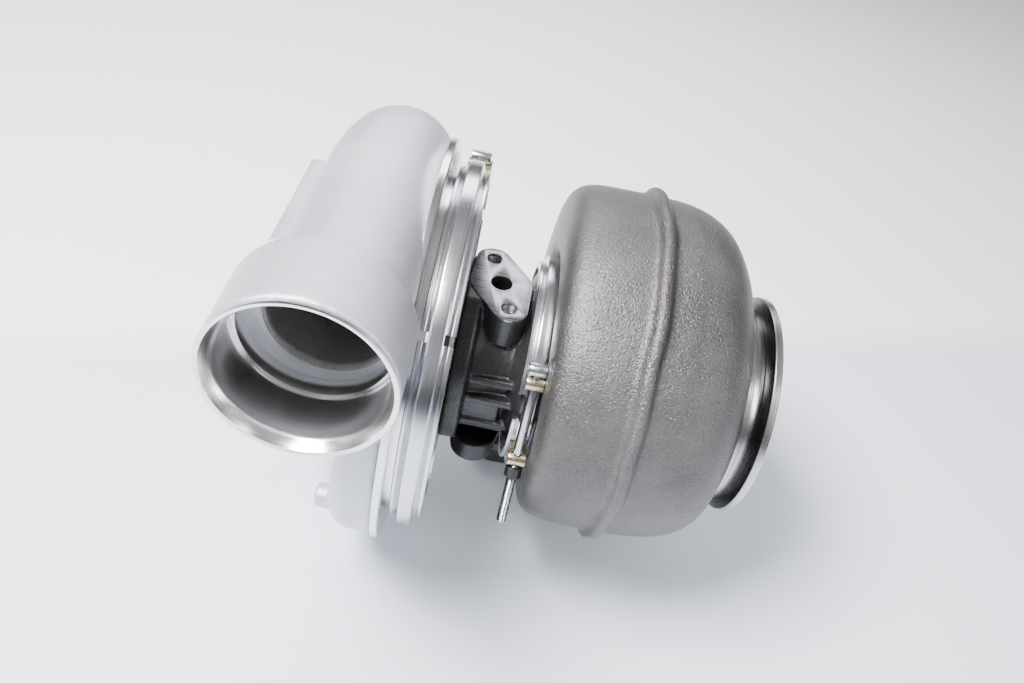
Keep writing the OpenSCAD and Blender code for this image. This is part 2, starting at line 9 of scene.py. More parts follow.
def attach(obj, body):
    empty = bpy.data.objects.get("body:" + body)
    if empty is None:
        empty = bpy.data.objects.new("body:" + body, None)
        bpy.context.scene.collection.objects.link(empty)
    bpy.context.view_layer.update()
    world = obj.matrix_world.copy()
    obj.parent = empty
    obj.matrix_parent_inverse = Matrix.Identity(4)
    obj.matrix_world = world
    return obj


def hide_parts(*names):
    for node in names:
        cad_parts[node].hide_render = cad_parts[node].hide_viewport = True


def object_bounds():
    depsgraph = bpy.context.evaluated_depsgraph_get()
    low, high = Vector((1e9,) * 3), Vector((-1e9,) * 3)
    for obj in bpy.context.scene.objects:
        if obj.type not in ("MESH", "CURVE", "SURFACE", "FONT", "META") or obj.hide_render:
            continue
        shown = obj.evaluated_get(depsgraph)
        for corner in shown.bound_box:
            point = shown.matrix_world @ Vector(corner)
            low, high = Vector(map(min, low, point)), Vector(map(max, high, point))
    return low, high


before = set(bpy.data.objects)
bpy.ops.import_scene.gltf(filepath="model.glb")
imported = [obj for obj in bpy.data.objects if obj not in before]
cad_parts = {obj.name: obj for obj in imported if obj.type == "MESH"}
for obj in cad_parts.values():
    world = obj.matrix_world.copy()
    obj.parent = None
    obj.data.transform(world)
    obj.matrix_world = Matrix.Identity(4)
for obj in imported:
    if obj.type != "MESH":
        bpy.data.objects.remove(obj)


def plain_box(b):
    return [[float(c) for c in corner] for corner in b]


CAD_BOX = plain_box(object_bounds())
MM = 0.001
ROOT, ROTOR = "housing", "rotor"


# ---------- mesh helpers (profiles in millimetres, meshes in metres) ----------
def make(name, verts, faces, smooth=35.0):
    me = bpy.data.meshes.new(name)
    me.from_pydata([tuple(c * MM for c in v) for v in verts], [], faces)
    me.validate()
    bm = bmesh.new()
    bm.from_mesh(me)
    bmesh.ops.recalc_face_normals(bm, faces=bm.faces)
    bm.to_mesh(me)
    bm.free()
    ob = bpy.data.objects.new(name, me)
    bpy.context.scene.collection.objects.link(ob)
    if smooth:
        shade(ob, smooth)
    return ob


def shade(ob, angle=35.0):
    me = ob.data
    me.polygons.foreach_set("use_smooth", [True] * len(me.polygons))
    bm = bmesh.new()
    bm.from_mesh(me)
    limit = math.radians(angle)
    for e in bm.edges:
        e.smooth = not (len(e.link_faces) == 2 and e.calc_face_angle(0) > limit)
    bm.to_mesh(me)
    bm.free()


def polar(x, r, t):
    t = math.radians(t)
    return (x, -r * math.sin(t), r * math.cos(t))


def revolve(name, prof, seg=192, a0=0.0, a1=360.0, smooth=30.0):
    """Closed (x, r) profile turned about the shaft axis from angle a0 to a1."""
    full = abs(a1 - a0) >= 360.0
    n = seg if full else seg + 1
    m = len(prof)
    v = [polar(x, max(r, 0.001), a0 + (a1 - a0) * i / seg) for i in range(n) for x, r in prof]
    f = []
    for i in range(seg):
        k = (i + 1) % n
        for j in range(m):
            q = (j + 1) % m
            f.append((i * m + j, i * m + q, k * m + q, k * m + j))
    if not full:
        f.append(tuple(range(m)))
        f.append(tuple((n - 1) * m + j for j in reversed(range(m))))
    return make(name, v, f, smooth)


def skin(name, rings, smooth=30.0):
    n, m = len(rings), len(rings[0])
    v = [p for ring in rings for p in ring]
    f = [(i * m + j, (i + 1) * m + j, (i + 1) * m + (j + 1) % m, i * m + (j + 1) % m)
         for i in range(n - 1) for j in range(m)]
    f += [tuple(range(m)), tuple((n - 1) * m + j for j in reversed(range(m)))]
    return make(name, v, f, smooth)


def prism(name, outline, z0, z1, smooth=30.0):
    m = len(outline)
    v = [(x, y, z0) for x, y in outline] + [(x, y, z1) for x, y in outline]
    f = [(j, (j + 1) % m, m + (j + 1) % m, m + j) for j in range(m)]
    f += [tuple(reversed(range(m))), tuple(range(m, 2 * m))]
    return make(name, v, f, smooth)


def tube(name, p0, p1, r, seg=64, r1=None):
    """Solid cylinder or cone between two points in millimetres."""
    p0, p1 = Vector(p0), Vector(p1)
    d = (p1 - p0).normalized()
    a = d.orthogonal().normalized()
    b = d.cross(a)
    v = []
    for p, rr in ((p0, r), (p1, r if r1 is None else r1)):
        v += [tuple(p + (a * math.cos(t) + b * math.sin(t)) * rr)
              for t in (2 * math.pi * k / seg for k in range(seg))]
    f = [(j, (j + 1) % seg, seg + (j + 1) % seg, seg + j) for j in range(seg)]
    f += [tuple(reversed(range(seg))), tuple(range(seg, 2 * seg))]
    return make(name, v, f)


def block(name, x0, x1, y0, y1, z0, z1):
    return prism(name, [(x0, y0), (x1, y0), (x1, y1), (x0, y1)], z0, z1)


def lathe_on(name, prof, origin, axis, seg=128, smooth=30.0):
    """Closed (s, r) profile turned about an axis through origin; s runs along the axis."""
    o, d = Vector(origin), Vector(axis).normalized()
    a = d.orthogonal().normalized()
    b = d.cross(a)
    m = len(prof)
    v = []
    for i in range(seg):
        t = 2 * math.pi * i / seg
        for s, r in prof:
            r = max(r, 0.001)
            v.append(tuple(o + d * s + (a * math.cos(t) + b * math.sin(t)) * r))
    f = [(i * m + j, i * m + (j + 1) % m, ((i + 1) % seg) * m + (j + 1) % m, ((i + 1) % seg) * m + j)
         for i in range(seg) for j in range(m)]
    return make(name, v, f, smooth)


def apply(ob):
    bpy.context.view_layer.update()
    dep = bpy.context.evaluated_depsgraph_get()
    me = bpy.data.meshes.new_from_object(ob.evaluated_get(dep))
    old = ob.data
    ob.modifiers.clear()
    ob.data = me
    bpy.data.meshes.remove(old)
    return ob


def combine(ob, others, op):
    for other in others:
        m = ob.modifiers.new("b", "BOOLEAN")
        m.operation, m.object, m.solver = op, other, "EXACT"
        apply(ob)
    for other in others:
        me = other.data
        bpy.data.objects.remove(other)
        bpy.data.meshes.remove(me)
    return ob


def join(ob, others):
    bm = bmesh.new()
    bm.from_mesh(ob.data)
    for o in others:
        bm.from_mesh(o.data)
        me = o.data
        bpy.data.objects.remove(o)
        bpy.data.meshes.remove(me)
    bm.to_mesh(ob.data)
    bm.free()
    return ob


def cast(ob, voxel, rounds=6, factor=0.5):
    """Melts a set of overlapping solids into one casting with soft fillets."""
    r = ob.modifiers.new("r", "REMESH")
    r.mode, r.voxel_size, r.use_smooth_shade = "VOXEL", voxel * MM, True
    s = ob.modifiers.new("s", "SMOOTH")
    s.factor, s.iterations = factor, rounds
    apply(ob)
    ob.data.polygons.foreach_set("use_smooth", [True] * len(ob.data.polygons))
    return ob


def bevel(ob, width, seg=2, angle=30.0):
    b = ob.modifiers.new("v", "BEVEL")
    b.width, b.segments, b.limit_method, b.angle_limit = width * MM, seg, "ANGLE", math.radians(angle)
    b.harden_normals = False
    apply(ob)
    shade(ob, 40)
    return ob


def finish_piece(ob, mat, body=ROOT, replaces=()):
    ob.data.materials.clear()
    ob.data.materials.append(mat)
    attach(ob, body)
    if replaces:
        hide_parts(*replaces)
    return ob


# ---------- materials ----------
def new_mat(name):
    m = bpy.data.materials.new(name)
    m.use_nodes = True
    nt = m.node_tree
    p = nt.nodes["Principled BSDF"]
    c = nt.nodes.new("ShaderNodeTexCoord")
    return m, nt, p, c


def noise(nt, c, scale, detail=4.0, rough=0.6, out="Fac"):
    n = nt.nodes.new("ShaderNodeTexNoise")
    n.inputs["Scale"].default_value = scale
    n.inputs["Detail"].default_value = detail
    n.inputs["Roughness"].default_value = rough
    nt.links.new(c.outputs["Object"], n.inputs["Vector"])
    return n.outputs[out]


def ramp(nt, src, stops):
    r = nt.nodes.new("ShaderNodeValToRGB")
    e = r.color_ramp.elements
    while len(e) < len(stops):
        e.new(0.5)
    for el, (pos, col) in zip(e, stops):
        el.position = pos
        el.color = (*col, 1) if len(col) == 3 else col
    nt.links.new(src, r.inputs["Fac"])
    return r.outputs["Color"]


def bump(nt, p, src, strength, dist, below=None):
    b = nt.nodes.new("ShaderNodeBump")
    b.inputs["Strength"].default_value = strength
    b.inputs["Distance"].default_value = dist
    nt.links.new(src, b.inputs["Height"])
    if below:
        nt.links.new(below, b.inputs["Normal"])
    nt.links.new(b.outputs["Normal"], p.inputs["Normal"])
    return b.outputs["Normal"]


def grey(v):
    return (v, v, v)


def cast_metal(name, dark, light, rough, metal, grain, grain_h, lump_h=0.25, spots=None):
    """Sand-cast or shot-blasted skin: fine grain, slow lumps, tone and gloss variation."""
    m, nt, p, c = new_mat(name)
    tone = noise(nt, c, 14, 5)
    fine = noise(nt, c, grain, 3, 0.75)
    mix = nt.nodes.new("ShaderNodeMath")
    mix.operation = "MULTIPLY_ADD"
    mix.inputs[1].default_value = 0.45
    nt.links.new(fine, mix.inputs[0])
    half = nt.nodes.new("ShaderNodeMath")
    half.operation = "MULTIPLY"
    half.inputs[1].default_value = 0.55
    nt.links.new(tone, half.inputs[0])
    nt.links.new(half.outputs[0], mix.inputs[2])
    nt.links.new(ramp(nt, mix.outputs[0], [(0.36, dark), (0.62, light)]), p.inputs["Base Color"])
    nt.links.new(ramp(nt, tone, [(0.3, grey(rough - 0.06)), (0.7, grey(rough + 0.06))]),
                 p.inputs["Roughness"])
    p.inputs["Metallic"].default_value = metal
    low = bump(nt, p, noise(nt, c, 55, 3), lump_h, 0.0012)
    mid = bump(nt, p, noise(nt, c, grain, 2, 0.7), grain_h, 0.0007, low)
    if spots:
        v = nt.nodes.new("ShaderNodeTexVoronoi")
        v.inputs["Scale"].default_value = spots
        nt.links.new(c.outputs["Object"], v.inputs["Vector"])
        bump(nt, p, ramp(nt, v.outputs["Distance"], [(0.05, grey(0.0)), (0.35, grey(1.0))]),
             0.6, 0.0004, mid)
    return m


def turned(name, dark, light, rough, axis="X", lines=900.0, metal=1.0, line_h=0.12, centre=(0, 0, 0)):
    """Machined skin: fine turning lines, which run round the axis, over soft tone bands."""
    m, nt, p, c = new_mat(name)
    sub = nt.nodes.new("ShaderNodeVectorMath")
    sub.operation = "SUBTRACT"
    sub.inputs[1].default_value = centre
    nt.links.new(c.outputs["Object"], sub.inputs[0])
    sep = nt.nodes.new("ShaderNodeSeparateXYZ")
    nt.links.new(sub.outputs[0], sep.inputs[0])
    comb = nt.nodes.new("ShaderNodeCombineXYZ")
    others = [a for a in "XYZ" if a != axis]
    rad = nt.nodes.new("ShaderNodeVectorMath")
    rad.operation = "LENGTH"
    flat = nt.nodes.new("ShaderNodeCombineXYZ")
    for a in others:
        nt.links.new(sep.outputs[a], flat.inputs[a])
    nt.links.new(flat.outputs[0], rad.inputs[0])
    nt.links.new(sep.outputs[axis], comb.inputs["X"])
    nt.links.new(rad.outputs["Value"], comb.inputs["Y"])
    n = nt.nodes.new("ShaderNodeTexNoise")
    n.inputs["Scale"].default_value = lines
    n.inputs["Detail"].default_value = 4
    nt.links.new(comb.outputs[0], n.inputs["Vector"])
    n2 = nt.nodes.new("ShaderNodeTexNoise")
    n2.inputs["Scale"].default_value = lines / 7
    n2.inputs["Detail"].default_value = 3
    nt.links.new(comb.outputs[0], n2.inputs["Vector"])
    patch = noise(nt, c, 30, 4)
    add = nt.nodes.new("ShaderNodeMath")
    add.operation = "MULTIPLY_ADD"
    add.inputs[1].default_value = 0.5
    nt.links.new(n2.outputs["Fac"], add.inputs[0])
    h = nt.nodes.new("ShaderNodeMath")
    h.operation = "MULTIPLY"
    h.inputs[1].default_value = 0.5
    nt.links.new(patch, h.inputs[0])
    nt.links.new(h.outputs[0], add.inputs[2])
    nt.links.new(ramp(nt, add.outputs[0], [(0.35, dark), (0.65, light)]), p.inputs["Base Color"])
    nt.links.new(ramp(nt, n.outputs["Fac"], [(0.3, grey(max(0.04, rough - 0.06))),
                                            (0.7, grey(rough + 0.07))]), p.inputs["Roughness"])
    p.inputs["Metallic"].default_value = metal
    bump(nt, p, n.outputs["Fac"], line_h, 0.00015)
    return m


CAST_AL = cast_metal("cast_aluminium", (0.44, 0.44, 0.50), (0.62, 0.62, 0.69), 0.40, 0.55, 1500, 0.40, 0.20)
# rough as-cast aluminium with painted shade: the roughness is real, the darker colour is painted shade for the inside
# of the discharge passage
ROUGH_SHADED_AL = cast_metal("rough_aluminium_painted_shade", (0.20, 0.19, 0.19), (0.36, 0.35, 0.34), 0.55, 0.55, 900, 0.5, 0.25)
MACH_AL = turned("machined_aluminium", (0.74, 0.74, 0.74), (0.90, 0.90, 0.90), 0.20, "X", 1300)
BORE_AL = turned("bored_aluminium", (0.70, 0.70, 0.69), (0.88, 0.88, 0.86), 0.20, "Y", 1500, line_h=0.10,
                 centre=(-0.2582, 0, 0.1026))
IRON = cast_metal("shot_blasted_iron", (0.070, 0.065, 0.064), (0.165, 0.155, 0.153), 0.38, 0.75, 850, 0.9, 0.45, 420)
DARK_IRON = cast_metal("dark_iron", (0.020, 0.020, 0.022), (0.070, 0.069, 0.072), 0.34, 0.55, 800, 0.40, 0.35)
DARK_PLATE = cast_metal("dark_plate", (0.06, 0.06, 0.065), (0.13, 0.13, 0.135), 0.38, 0.7, 900, 0.2, 0.1)
STEEL = turned("turned_steel", (0.40, 0.39, 0.38), (0.62, 0.61, 0.60), 0.26, "X", 1500)
# painted shade: near-black turned steel for the V groove of the turbine outlet flange
GROOVE_SHADE = turned("groove_painted_shade", (0.030, 0.028, 0.032), (0.075, 0.070, 0.075), 0.30, "X", 1500)
STAINLESS = turned("stainless_band", (0.58, 0.58, 0.61), (0.80, 0.80, 0.83), 0.20, "X", 1800, line_h=0.08)
FLANGE_FACE = turned("milled_iron", (0.22, 0.22, 0.24), (0.38, 0.38, 0.41), 0.30, "Z", 700,
                     centre=(-0.174, 0.6, 0))
ZINC = turned("zinc_plate", (0.45, 0.47, 0.48), (0.72, 0.74, 0.75), 0.24, "X", 600)
GOLD = turned("yellow_zinc", (0.42, 0.33, 0.17), (0.66, 0.58, 0.42), 0.28, "Y", 500)
BLACK = cast_metal("black_oxide", (0.012, 0.012, 0.013), (0.035, 0.034, 0.036), 0.30, 0.5, 700, 0.15, 0.05)
BRONZE = turned("bearing_bronze", (0.55, 0.38, 0.16), (0.75, 0.56, 0.28), 0.24, "X", 900)
GROUND = turned("ground_steel", (0.50, 0.50, 0.52), (0.70, 0.70, 0.72), 0.14, "X", 2000)
TURB = cast_metal("heat_alloy", (0.13, 0.105, 0.09), (0.26, 0.215, 0.185), 0.40, 0.8, 900, 0.3, 0.15)
RUBBER = cast_metal("seal_rubber", (0.012, 0.012, 0.012), (0.03, 0.03, 0.03), 0.55, 0.0, 600, 0.15, 0.05)

# ---------- compressor cover ----------
DX, DY, DZ = -258.2, 164.0, 102.6
INLET_X, TUBE_R, BORE_R = -306.4, 58.0, 51.0


def tube_r(t):
    return 13.5 + 22.5 * (max(0.0, t - 60) / 300) ** 1.15


def tube_x(t):
    return -218.2 - tube_r(t)


def tube_pitch(t):
    return 111.5 - (111.5 - DZ) * max(0.0, (t - 300) / 60) ** 3


def scroll(name, w, y_end, t0=60.0):
    rings = []
    n = 64
    t = t0
    while t < 359.9:
        r = tube_r(t) - w
        rings.append([polar(tube_x(t) + r * math.cos(a), tube_pitch(t) + r * math.sin(a), t)
                      for a in (2 * math.pi * k / n for k in range(n))])
        t += 3.0
    for y in np.linspace(0, y_end, 14):
        r = tube_r(360) + y / 118 - w
        x = -218.2 - r - w
        rings.append([(x + r * math.cos(a), -y, DZ + r * math.sin(a))
                      for a in (2 * math.pi * k / n for k in range(n))])
    return skin(name, rings)


cover = scroll("cover_casting", 0, 118)
parts = [
    revolve("rim", [(-300, 40), (-300, TUBE_R), (-246, TUBE_R), (-238, 66), (-236, 104), (-238, 120),
                    (-237, 125.5), (-224, 129.5), (-222.0, 128), (-222.0, 40)], 232, 0.5, 360.5),
    lathe_on("socket", [(0, 20), (0, 43.5), (0.8, 45.4), (2.6, 46.4), (48.2, 46.4), (48.2, 20)],
             (DX, -113, DZ), (0, -1, 0)),
    block("pad", INLET_X, -256, -47.4, 47.4, 30, 88.8),
    tube("lug", (-238, -84, -74), (-263, -84, -74), 8),
]
# the rim, the discharge socket, a raised foundry flat on the crown and a lug join the scroll
cover = combine(cover, parts, "UNION")
cuts = [scroll("passage", 5, 122, 66.0),
        lathe_on("mouth", [(0, 0), (0, 42.0), (60, 42.0), (60, 0)], (DX, -118, DZ), (0, -1, 0)),
        revolve("eye", [(-310, 0), (-310, BORE_R + 1), (-281, BORE_R + 1), (-268, 42.4),
                        (-250, 42.4), (-234, 47), (-226, 56), (-210, 62), (-210, 0)], 176, 0.25, 360.25)]
cover = combine(cover, cuts, "DIFFERENCE")
cast(cover, 1.7, 7)
finish_piece(cover, CAST_AL, ROOT, ["compressor_cover"])

# painted shade: a dark rough skin lines the inside of the discharge passage; its as-cast roughness is real, its
# darkness is painted shade
lining = combine(scroll("passage_lining_painted_shade", 4.4, 117.4, 300.0), [scroll("hollow", 6.0, 122, 297.0)], "DIFFERENCE")
finish_piece(lining, ROUGH_SHADED_AL)

lip = lathe_on("discharge_socket", [
    (0, 43.0), (0, 45.6), (2.6, 46.4), (2.9, 45.6), (2.4, 43.9), (-3.2, 41.0), (-4.6, 40.6),
    (-31, 40.4), (-31.4, 39.9), (-31.4, 38.6), (-34, 37.9), (-40, 37.8), (-44, 39.0), (-44, 42.4),
    (-6, 42.4)], (DX, -DY + 2.9, DZ), (0, -1, 0), 192)
finish_piece(lip, BORE_AL)
ring = revolve("cover_machined_rim", [
    (-222.4, 104), (-222.4, 129.8), (-221.9, 131.0), (-221.3, 131.2), (-218.2, 130.6), (-217.6, 130.0),
    (-217.4, 128.5), (-217.4, 109.5), (-210.3, 109.5), (-207.9, 115.4), (-207.3, 116), (-204.3, 116),
    (-204.1, 115.8), (-204.1, 100.4), (-214.9, 100.4), (-214.9, 104)], 256)
finish_piece(ring, MACH_AL)
eye = revolve("inlet_bore", [
    (INLET_X, BORE_R + 0.8), (INLET_X, TUBE_R - 1), (INLET_X + 1, TUBE_R - 0.1), (-299, TUBE_R - 0.1),
    (-299, BORE_R + 1.4), (-281.6, BORE_R + 1.4), (-268, 43.5), (-250, 43.5), (-240, 46.0),
    (-233, 49.8), (-226.5, 55.0), (-223.0, 61.0), (-221.5, 70), (-222.6, 104), (-221.2, 104),
    (-221.0, 61), (-223.4, 59), (-227, 53), (-233, 47.6), (-241, 43.4), (-250, 41.6),
    (-268, 41.6), (-282.4, BORE_R), (-305.6, BORE_R)], 192)
finish_piece(eye, MACH_AL)

# ---------- turbine housing ----------
DIV = -87.0


def volute(t):
    u = t - 360 if t >= 270 else t
    if u <= 225:
        return 117 - 0.132 * u
    a, b = 117 - 0.132 * 225, 117 + 0.132 * 90
    k = min(1.0, (u - 225) / 40)
    return a + (b - a) * k * k * (3 - 2 * k)


def side_x(t):
    u = t - 360 if t >= 270 else t
    return -144 + 8 * max(0.0, min(1.0, (u + 30) / 160))


def shell_profile(t):
    r, x = volute(t), side_x(t)
    b, c = 76.0, 78.0
    h, g = r - b, r - c
    return [(-131, 72), (x + 5, 74), (x + 1, b + 0.03 * h), (x, b + 0.14 * h), (x, b + 0.32 * h),
            (x, b + 0.5 * h), (x + 0.8, b + 0.63 * h), (x + 2.2, b + 0.75 * h), (x + 4.3, b + 0.84 * h),
            (x + 7, b + 0.905 * h), (x + 10.2, b + 0.95 * h), (x + 14, b + 0.98 * h), (x + 19, r + 0.1),
            (x + 25, r + 0.6), (-105, r + 0.9), (-97, r + 1), (DIV - 6, r + 1), (-80, r + 1), (-73, r + 0.8),
            (-66, r + 0.4), (-61, c + 0.985 * g), (-56, c + 0.962 * g), (-51, c + 0.923 * g),
            (-46, c + 0.87 * g), (-42, c + 0.815 * g), (-38, c + 0.745 * g), (-34.5, c + 0.66 * g),
            (-31, c + 0.55 * g), (-28, c + 0.44 * g), (-25.6, c + 0.32 * g), (-24, c + 0.19 * g),
            (-23, c + 0.08 * g), (-22, 76.5), (-21, 74)]


shell = skin("turbine_casting", [[polar(*shell_profile(t)[k], t) for t in range(0, 360, 3)]
                                 for k in range(len(shell_profile(0)))])


def wander(t):
    return 0.7 * math.sin(math.radians(t * 5)) + 0.4 * math.sin(math.radians(t * 13 + 40))


rib = skin("rib", [[polar(DIV + x + wander(t), volute(t) + h, t) for t in range(0, 360, 2)]
                   for x, h in ((-6.2, -3), (-4.6, 2.4), (-3.4, 5.2), (-1.6, 6.4), (1.2, 6.4),
                                (3.2, 5.2), (4.6, 2.4), (6.2, -3))])


def rounded(x0, x1, y0, y1, r, n=8):
    pts = []
    for cx, cy, a0 in ((x1 - r, y1 - r, 0), (x0 + r, y1 - r, 90), (x0 + r, y0 + r, 180), (x1 - r, y0 + r, 270)):
        pts += [(cx + r * math.cos(math.radians(a0 + 90 * i / n)), cy + r * math.sin(math.radians(a0 + 90 * i / n)))
                for i in range(n + 1)]
    return pts


parts = [rib,
         revolve("boss", [(-60, 40), (-60, 79.5), (-24.5, 79.5), (-21.5, 78), (-20, 75), (-20, 40)], 192),
         revolve("neck", [(-140.6, 40), (-140.6, 61), (-128, 61), (-128, 40)], 192),
         prism("duct", rounded(-141.7, -32.3, 56.2, 127.6, 16), -146, -3.37),
         prism("flange", rounded(DIV - 78, DIV + 78, 38, 146, 13), -149.2, -136)]
shell = combine(shell, parts, "UNION")
cuts = [revolve("inside", [(-146, 0), (-146, 57.6), (-103.4, 57.6), (-103.4, 53.4), (-98, 53), (-98, 66),
                           (-76, 66), (-76, 51.4), (-69, 47.6), (-61, 44.6), (-52, 44.4), (-20, 58.4),
                           (5, 58.4), (5, 0)], 192),
        prism("port_a", rounded(-136, -92, 63.5, 120.5, 6), -151, -4.61),
        prism("port_b", rounded(-82, -38, 63.5, 120.5, 6), -151, -4.61)]
cuts.append(revolve("clamp_room", [(-143, 66.2), (-140, 66.2), (-137.5, 60.9), (-131.8, 60.9),
                                   (-131.8, 71.6), (-143, 71.6)], 192))
cuts += [tube("h", (DIV + x * 65, 92 + y * 41, -152), (DIV + x * 65, 92 + y * 41, -130), 6.5)
         for x in (-1, 1) for y in (-1, 1)]
shell = combine(shell, cuts, "DIFFERENCE")
cast(shell, 1.6, 6)
finish_piece(shell, IRON, ROOT, ["turbine_housing"])

flange = revolve("turbine_outlet_flange", [
    (-21, 58.2), (-21, 73.5), (-20.2, 73.6), (-20, 67.6), (-19.4, 67.0), (-14.8, 66.8), (-14.4, 66.4),
    (-14.2, 65.7), (-9.4, 65.2), (-8.7, 64.8), (-8.6, 64.6), (-4.9, 71.6), (-4.3, 72.0), (-0.5, 72.0),
    (0, 71.5), (0, 58.8), (-0.8, 58.0), (-20.6, 58.0)], 256)
finish_piece(flange, STEEL)
# painted shade: a thin dark sheet laid on the V face darkens the groove of the outlet flange
v_groove_shade = revolve("outlet_v_face_painted_shade", [(-8.75, 64.0), (-8.75, 64.75), (-5.0, 71.72), (-4.85, 71.0), (-7.5, 64.0)], 256)
finish_piece(v_groove_shade, GROOVE_SHADE)
lipf = revolve("turbine_clamp_flange", [
    (-143.4, 57.4), (-143.4, 65.8), (-143.2, 66.0), (-140.2, 66.0), (-139.9, 65.8), (-137.9, 61.3),
    (-137, 60.8), (-131, 60.6), (-131, 57.4)], 224)
finish_piece(lipf, STEEL)

# ---------- bearing housing ----------
OX, OY, OZ, TURN = -174.2, 0.5, 57.4, 16.7


def lozenge(mid, ear, half, n=16):
    f = math.degrees(math.acos((mid - ear) / half))

    def arc(cy, r, a0, a1, k):
        return [(r * math.cos(math.radians(a0 + (a1 - a0) * i / k)),
                 cy + r * math.sin(math.radians(a0 + (a1 - a0) * i / k))) for i in range(k + 1)]
    return (arc(0, mid, f - 90, 90 - f, n) + arc(half, ear, 90 - f, 90 + f, 2 * n)
            + arc(0, mid, 90 + f, 270 - f, n) + arc(-half, ear, 270 - f, 270 + f, 2 * n))


def placed(pts, ox, oy, turn):
    c, s = math.cos(math.radians(turn)), math.sin(math.radians(turn))
    return [(ox + x * c - y * s, oy + x * s + y * c) for x, y in pts]


def spin(ob, deg):
    ob.data.transform(Matrix.Rotation(math.radians(deg), 4, "X"))
    return ob


body = revolve("bearing_casting", [
    (-194.6, 20), (-194.6, 59.4), (-193.6, 60), (-185.2, 60), (-183.8, 59), (-183.2, 57), (-183, 50),
    (-178, 48), (-166, 46), (-158, 46), (-154.5, 50), (-151, 58), (-149, 60.5), (-146, 62), (-146, 20)], 224)
cut = block("trim", -200, -150, -42, 42, OZ - 0.6, 75)
body = combine(body, [cut], "DIFFERENCE")
parts = [prism("col", placed(lozenge(19.8, 11.7, 24.5), OX, OY, TURN), 36, OZ - 0.6),
         tube("oilcol", (OX, OY, 15), (OX, OY, 44), 18),
         prism("drain", placed(lozenge(20, 14.5, 30.5), -171, 0, 0), -59.4, -44),
         tube("draincol", (-171, 0, -10), (-171, 0, -50), 20)]
for a in (70, 84, 108, 122, -70, -100, -122):
    parts.append(spin(block("rib", -184, -152, -2.4, 2.4, 30, 53.5 if a in (84, 108, -100) else 51), a))
parts.append(spin(block("pad", -181, -160, -11, 11, 30, 50.2), 97))
body = combine(body, parts, "UNION")
cuts = [tube("o", (OX, OY, 42), (OX, OY, 70), 6.75),
        tube("d", (-171, 0, -70), (-171, 0, -17), 14),
        tube("bore", (-196, 0, 0), (-100, 0, 0), 15.4), tube("pocket", (-197, 0, 0), (-186, 0, 0), 31.2)]
c, s = math.cos(math.radians(TURN)), math.sin(math.radians(TURN))
for k in (-24.5, 24.5):
    cuts.append(tube("b", (OX - k * s, OY + k * c, OZ - 20), (OX - k * s, OY + k * c, 70), 5.1))
    cuts.append(tube("b2", (-171, k * 30.5 / 24.5, -70), (-171, k * 30.5 / 24.5, -48), 4.6))
body = combine(body, cuts, "DIFFERENCE")
cast(body, 0.95, 4)
finish_piece(body, DARK_IRON, ROOT, ["bearing_housing"])

face = prism("oil_flange_face", placed(lozenge(19.6, 11.5, 24.5), OX, OY, TURN), OZ - 1.6, OZ)
cuts = [tube("o", (OX, OY, 40), (OX, OY, 70), 6.75, 96)]
for k in (-24.5, 24.5):
    cuts.append(tube("b", (OX - k * s, OY + k * c, 40), (OX - k * s, OY + k * c, 70), 5.0, 96))
face = combine(face, cuts, "DIFFERENCE")
bevel(face, 0.35)
finish_piece(face, FLANGE_FACE)


def thread(name, origin, axis, r_root, r_crest, length, pitch, seg=48, inside=False):
    """Helical V thread as a closed skin; inside gives the wall of a tapped hole."""
    o, d = Vector(origin), Vector(axis).normalized()
    a = d.orthogonal().normalized()
    b = d.cross(a)
    steps = max(4, int(length / pitch * 8))
    rows = []
    for i in range(steps + 1):
        z = length * i / steps
        row = []
        for k in range(seg):
            ph = (z / pitch - k / seg) % 1.0
            r = r_root + (r_crest - r_root) * (1 - abs(2 * ph - 1))
            t = 2 * math.pi * k / seg
            row.append(tuple(o + d * z + (a * math.cos(t) + b * math.sin(t)) * r))
        rows.append(row)
    if inside:
        back = r_crest + 0.5
        outer = [[tuple(o + d * z + (a * math.cos(2 * math.pi * k / seg) + b * math.sin(2 * math.pi * k / seg)) * back)
                  for k in range(seg)] for z in (length, 0.0)]
        rows += outer
        n, m = len(rows), seg
        v = [p for row in rows for p in row]
        f = [(i * m + j, ((i + 1) % n) * m + j, ((i + 1) % n) * m + (j + 1) % m, i * m + (j + 1) % m)
             for i in range(n) for j in range(m)]
        return make(name, v, f, 60)
    return skin(name, rows, 60)


for i, k in enumerate((-24.5, 24.5)):
    th = thread("oil_bolt_thread_%d" % i, (OX - k * s, OY + k * c, OZ - 19), (0, 0, 1), 4.25, 5.0, 18.0, 1.5,
                inside=True)
    finish_piece(th, FLANGE_FACE)

nose = revolve("bearing_nose", [
    (-147.0, 15.2), (-147.0, 66), (-146.6, 66), (-143.9, 66), (-143.7, 65.8), (-143.7, 54.2), (-107, 52.2),
    (-106, 51), (-106, 15.2)], 192)
finish_piece(nose, DARK_PLATE)

# ---------- backplate ----------
plate = revolve("backplate", [
    (-215, 12), (-215, 99.4), (-214.6, 99.7), (-203.9, 99.7), (-203.9, 116), (-200.6, 116), (-200.2, 115.7),
    (-197.8, 110), (-197.6, 109), (-197.6, 97), (-198.4, 95), (-202.6, 92), (-203, 91), (-203, 67),
    (-202, 65), (-195.4, 62.2), (-195, 61), (-195, 40), (-199, 36), (-199, 15), (-200, 12)], 224)
finish_piece(plate, DARK_PLATE, ROOT, ["compressor_backplate"])


